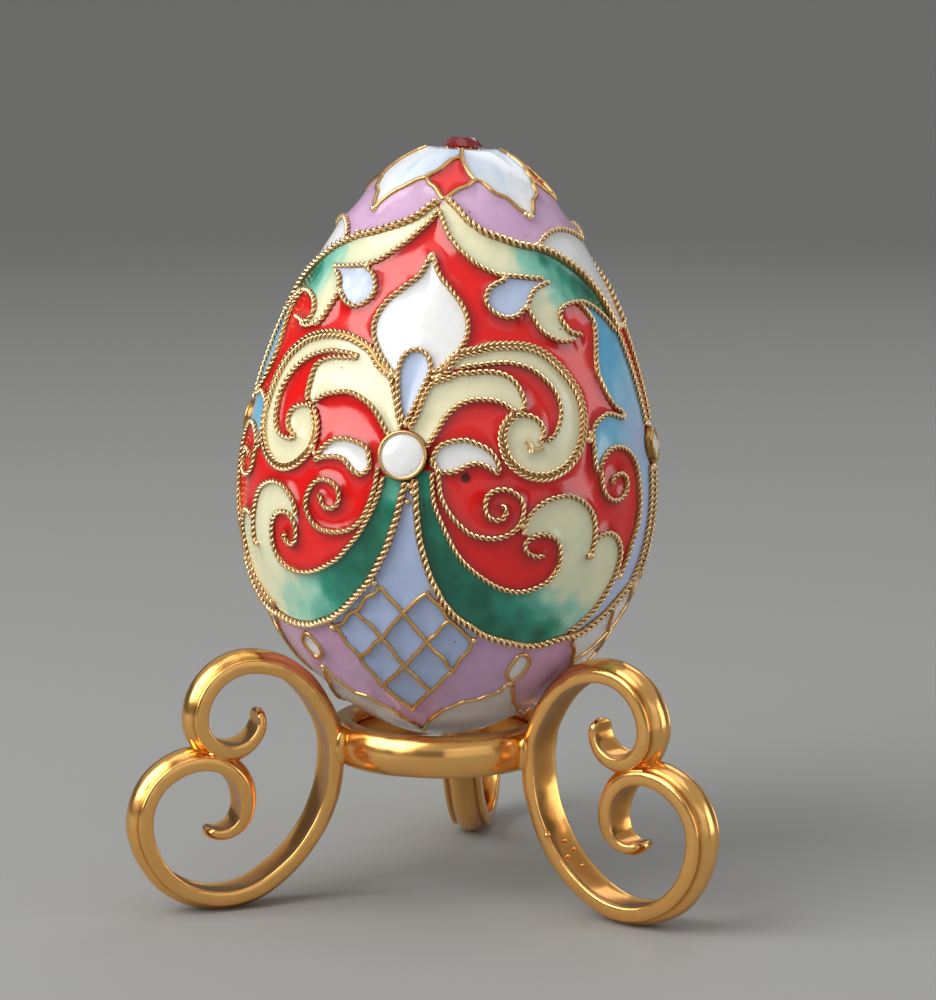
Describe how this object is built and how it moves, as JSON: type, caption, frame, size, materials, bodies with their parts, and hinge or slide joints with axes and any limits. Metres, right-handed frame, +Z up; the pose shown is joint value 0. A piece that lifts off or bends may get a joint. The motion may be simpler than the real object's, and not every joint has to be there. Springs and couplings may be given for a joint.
{
  "type": "jewelled egg on stand",
  "caption": "Filigree-enamelled egg with scrolling leaf ornament and a small faceted stone on its tip, resting in a gilt stand of scroll legs round a ring",
  "frame": {"origin": "on the surface the stand rests on, under the middle of the bounding box", "axes": "+Z up; -Y is the front, with a leg on each side of it; +Y points along the back leg; the upright axis of the ring is at Y = -6.08 mm"},
  "size_m": [0.0594, 0.0558, 0.0777],
  "materials": {
    "enamel": "gloss",
    "white_enamel": "gloss",
    "red_stone": "polished",
    "gilt": "polished"
  },
  "bodies": {
    "root": {"egg_body": "enamel", "stone_setting": "gilt", "top_stone": "red_stone", "medallion_front": "white_enamel", "medallion_back": "white_enamel", "medallion_right": "white_enamel", "medallion_left": "white_enamel", "ring": "gilt", "leg_left": "gilt", "leg_right": "gilt", "leg_back": "gilt"}
  },
  "joints": []
}
